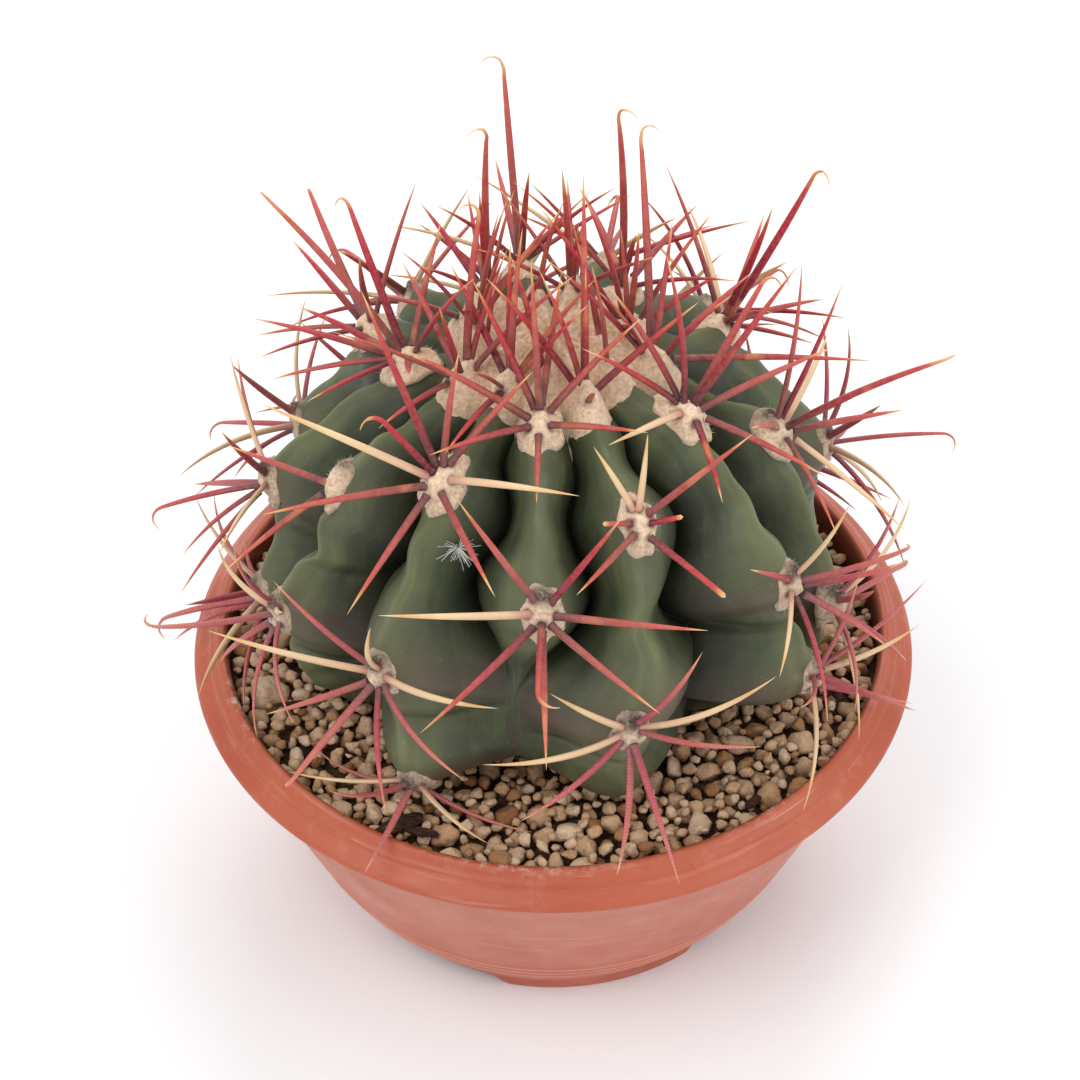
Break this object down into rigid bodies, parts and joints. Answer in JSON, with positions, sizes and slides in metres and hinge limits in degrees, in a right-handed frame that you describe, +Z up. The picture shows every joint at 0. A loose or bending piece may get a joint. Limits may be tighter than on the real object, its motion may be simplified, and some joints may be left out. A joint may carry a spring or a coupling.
{
  "type": "potted barrel cactus",
  "caption": "Ribbed barrel cactus with hooked red spines and a felted crown, growing in a shallow terracotta-coloured bowl topped with pumice gravel.",
  "frame": {"origin": "on the surface that the pot stands on, at the bowl's axis", "axes": "+Z up along the bowl's axis, -Y towards the side seen in the picture, +X to that side's right"},
  "size_m": [0.2955, 0.2936, 0.3207],
  "materials": {
    "pot_plastic": "satin",
    "growing_mix": "matte",
    "pumice_gravel": "matte",
    "stem_skin": "satin",
    "crown_felt": "matte",
    "spines": "satin"
  },
  "bodies": {
    "root": {"areole_01": "spines", "areole_02": "spines", "areole_03": "spines", "areole_04": "spines", "areole_05": "spines", "areole_06": "spines", "areole_07": "spines", "areole_08": "spines", "areole_09": "spines", "areole_10": "spines", "areole_11": "spines", "areole_12": "spines", "areole_13": "spines", "areole_14": "spines", "areole_15": "spines", "areole_16": "spines", "areole_17": "spines", "areole_18": "spines", "areole_19": "spines", "areole_20": "spines", "areole_21": "spines", "areole_22": "spines", "areole_23": "spines", "areole_24": "spines", "areole_25": "spines", "areole_26": "spines", "areole_28": "spines", "areole_29": "spines", "areole_30": "spines", "areole_31": "spines", "areole_32": "spines", "crown": "crown_felt", "stem": "stem_skin", "gravel": "pumice_gravel", "soil": "growing_mix", "pot": "pot_plastic"}
  },
  "joints": []
}
